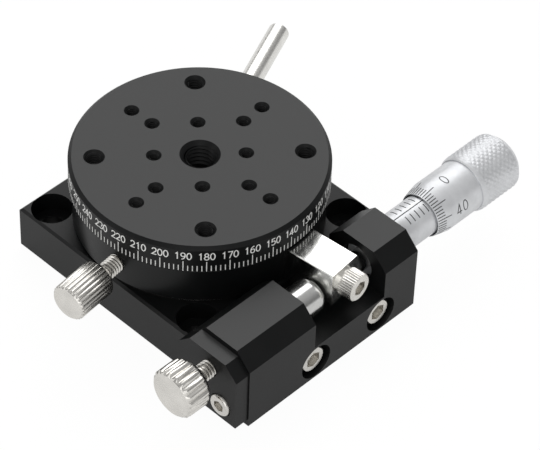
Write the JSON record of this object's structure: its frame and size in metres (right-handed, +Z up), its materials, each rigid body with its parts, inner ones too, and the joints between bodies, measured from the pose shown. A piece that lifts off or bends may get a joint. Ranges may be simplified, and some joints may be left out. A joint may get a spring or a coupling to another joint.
{
  "type": "rotation stage",
  "caption": "Round rotation stage on a square base: coarse turn by hand, fine turn by a micrometer against a sprung tangent lever, with a clamp screw and a preload screw.",
  "frame": {"origin": "where the turning axis meets the underside of the base plate", "axes": "+Z up along the turning axis; +X out of the side that carries the drive block; +Y along the micrometer, from its tip to its thimble"},
  "size_m": [0.0513, 0.0704, 0.0203],
  "materials": {
    "black_anodise": "matte black anodised",
    "bright_steel": "bright nickel or stainless",
    "polished_chrome": "polished chrome plate on steel",
    "satin_chrome": "satin chrome",
    "brass": "machined",
    "ptfe": "white sliding plastic"
  },
  "bodies": {
    "base": {"base_plate": "black_anodise", "bearing_outer_ring": "bright_steel", "bearing_retainer": "bright_steel", "ring_washer": "ptfe", "side_block": "black_anodise", "side_block_screws": "bright_steel", "end_plate": "black_anodise", "end_plate_screws": "bright_steel", "micrometer_barrel": "satin_chrome", "scale_sleeve": "satin_chrome", "adjusting_nut": "bright_steel", "micrometer_set_screw": "bright_steel", "plunger_spring": "bright_steel"},
    "ring": {"fine_ring": "black_anodise", "lever": "polished_chrome", "lever_washer": "bright_steel", "lever_screw": "bright_steel"},
    "clamp_pad": {"clamp_pad": "brass"},
    "clamp_screw": {"clamp_screw": "bright_steel"},
    "table": {"table": "black_anodise", "bearing_inner_ring": "bright_steel", "spindle_nut": "bright_steel", "handle_rod": "satin_chrome"},
    "cage": {"bearing_cage": "brass", "bearing_balls": "bright_steel"},
    "plunger": {"plunger": "satin_chrome"},
    "spring_seat": {"spring_seat": "brass"},
    "lock_screw": {"lock_screw": "bright_steel"},
    "spindle": {"spindle": "bright_steel"},
    "thimble": {"thimble": "satin_chrome", "thimble_cap": "satin_chrome"}
  },
  "joints": [
    {"name": "fine_rotation", "type": "hinge", "parent": "base", "child": "ring", "pos_m": [0, 0, 0.0118], "axis": [0, 0, 1], "range_deg": [-11, 0.5]},
    {"name": "table_rotation", "type": "hinge", "parent": "ring", "child": "table", "pos_m": [0, 0, 0.0118], "axis": [0, 0, 1], "continuous": true},
    {"name": "cage_rotation", "type": "hinge", "parent": "base", "child": "cage", "pos_m": [0, 0, 0.005], "axis": [0, 0, 1], "continuous": true},
    {"name": "micrometer_feed", "type": "slide", "parent": "base", "child": "spindle", "axis": [0, -1, 0], "range_m": [-0.00022, 0.00488]},
    {"name": "micrometer_turn", "type": "hinge", "parent": "spindle", "child": "thimble", "pos_m": [0.02542, 0.03, 0.01], "axis": [0, -1, 0], "range_deg": [-160, 3515]},
    {"name": "plunger_slide", "type": "slide", "parent": "base", "child": "plunger", "axis": [0, -1, 0], "range_m": [-0.00022, 0.00488], "deforming": ["plunger_spring"]},
    {"name": "clamp_feed", "type": "slide", "parent": "ring", "child": "clamp_pad", "axis": [-0.108, 0.9942, 0], "range_m": [-0.001, 0.0001]},
    {"name": "clamp_turn", "type": "hinge", "parent": "clamp_pad", "child": "clamp_screw", "pos_m": [0.00216, -0.01988, 0.0122], "axis": [-0.108, 0.9942, 0], "range_deg": [-721, 73]},
    {"name": "lock_feed", "type": "slide", "parent": "base", "child": "spring_seat", "axis": [0, 1, 0], "range_m": [0, 0.003], "deforming": ["plunger_spring"]},
    {"name": "lock_turn", "type": "hinge", "parent": "spring_seat", "child": "lock_screw", "pos_m": [0.02542, -0.025, 0.01], "axis": [0, 1, 0], "range_deg": [-1, 2161]}
  ],
  "couplings": [
    {"joint": "cage_rotation", "follows": "table_rotation", "ratio": 0.45745},
    {"joint": "micrometer_turn", "follows": "micrometer_feed", "rad_per_m": 12566},
    {"joint": "fine_rotation", "follows": "micrometer_feed", "rad_per_m": -39.331},
    {"joint": "plunger_slide", "follows": "micrometer_feed", "ratio": 1},
    {"joint": "clamp_turn", "follows": "clamp_feed", "rad_per_m": 12566},
    {"joint": "lock_turn", "follows": "lock_feed", "rad_per_m": 12566}
  ]
}
